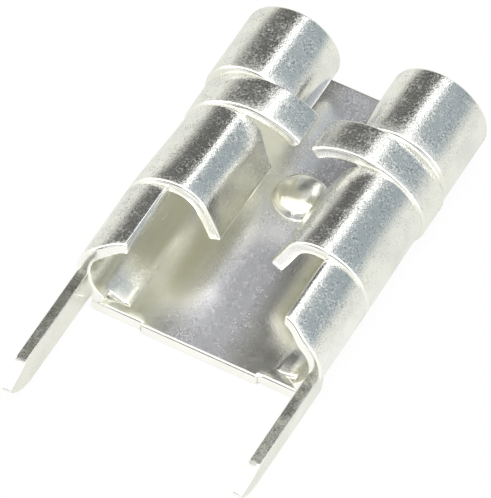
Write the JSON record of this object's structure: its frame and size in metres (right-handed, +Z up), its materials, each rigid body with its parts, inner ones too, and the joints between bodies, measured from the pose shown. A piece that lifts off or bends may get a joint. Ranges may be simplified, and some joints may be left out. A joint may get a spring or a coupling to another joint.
{
  "type": "pcb female spade terminal",
  "caption": "Tinned sheet receptacle for a flat spade, with a flat floor, rolled sides, an open strap across them and pins that solder into a printed circuit board.",
  "frame": {"origin": "middle of the whole part's outline, on the underside of the floor", "axes": "+X across the width, +Y along the terminal from its pins to its mouth, +Z up out of the floor"},
  "size_m": [0.0076, 0.0148, 0.0033],
  "materials": {
    "tinned_brass": "bright tin plating over brass"
  },
  "bodies": {
    "root": {"terminal": "tinned_brass"}
  },
  "joints": []
}
